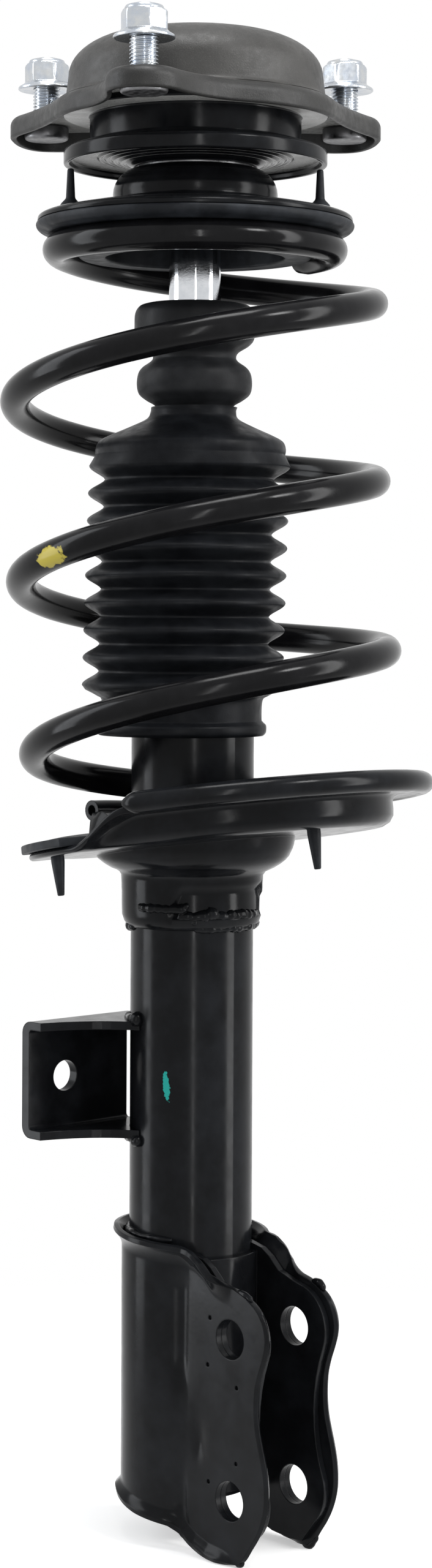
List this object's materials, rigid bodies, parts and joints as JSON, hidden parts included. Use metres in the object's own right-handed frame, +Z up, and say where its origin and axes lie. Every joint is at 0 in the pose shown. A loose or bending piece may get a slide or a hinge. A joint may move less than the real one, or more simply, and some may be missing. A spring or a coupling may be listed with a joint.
{
  "type": "strut assembly",
  "caption": "Loaded front suspension strut: studded top mount on a bearing, coil spring, bumper and ribbed boot over the rod, damper tube with link bracket and knuckle clevis.",
  "frame": {"origin": "on the rod axis, in the plane of the flange that seats against the strut tower", "axes": "+Z up along the rod; +X towards the knuckle bolts; +Y along the knuckle bolts"},
  "size_m": [0.1999, 0.1801, 0.6335],
  "materials": {
    "mount_paint": "matte speckled dark grey",
    "black_paint": "gloss black with orange peel",
    "spring_coat": "gloss black powder coat",
    "rubber": "satin black",
    "zinc": "bluish zinc plate",
    "chrome": "mirror chrome",
    "bare_steel": "turned steel",
    "polymer": "natural polymer"
  },
  "bodies": {
    "top_mount": {"mount_housing": "mount_paint", "mount_rubber": "rubber", "mount_core": "bare_steel", "mount_base_plate": "black_paint", "mount_studs": "zinc", "rod_nut": "zinc", "rod_washer": "zinc", "bearing_upper_race": "bare_steel", "piston_rod": "chrome", "rebound_stop": "rubber", "piston": "bare_steel", "piston_band": "polymer", "piston_nut": "bare_steel"},
    "tower_nuts": {"tower_nuts": "zinc"},
    "ball_cage": {"bearing_cage": "polymer", "bearing_balls": "chrome"},
    "upper_seat": {"bearing_lower_race": "bare_steel", "upper_spring_seat": "black_paint", "upper_isolator": "rubber", "coil_spring": "spring_coat"},
    "bump_stop": {"jounce_bumper": "rubber", "dust_boot": "rubber"},
    "damper_tube": {"outer_tube": "black_paint", "pressure_tube": "bare_steel", "base_valve": "bare_steel", "rod_guide": "bare_steel", "rod_bush": "polymer", "rod_seal": "rubber", "tube_cap": "polymer", "base_cap": "black_paint", "lower_spring_seat": "black_paint", "lower_isolator": "rubber", "link_bracket": "black_paint", "knuckle_bracket": "black_paint", "knuckle_liner": "black_paint"}
  },
  "joints": [
    {"name": "nuts_off", "type": "slide", "parent": "top_mount", "child": "tower_nuts", "axis": [0, 0, 1], "range_m": [0, 0.045]},
    {"name": "steer", "type": "hinge", "parent": "top_mount", "child": "upper_seat", "pos_m": [0, 0, -0.0232], "axis": [0, 0, 1], "range_deg": [-40, 40]},
    {"name": "cage_roll", "type": "hinge", "parent": "top_mount", "child": "ball_cage", "pos_m": [0, 0, -0.0232], "axis": [0, 0, 1], "range_deg": [-20, 20]},
    {"name": "jounce", "type": "slide", "parent": "upper_seat", "child": "damper_tube", "axis": [0, 0, 1], "range_m": [0, 0.13], "stiffness_N_per_m": 25000, "springref_m": -0.09, "deforming": ["coil_spring", "jounce_bumper", "dust_boot"]},
    {"name": "bumper_slide", "type": "slide", "parent": "top_mount", "child": "bump_stop", "axis": [0, 0, 1], "range_m": [0, 0.053]}
  ],
  "couplings": [
    {"joint": "cage_roll", "follows": "steer", "ratio": 0.5},
    {"joint": "bumper_slide", "follows": "jounce", "ratio": 0.4}
  ]
}
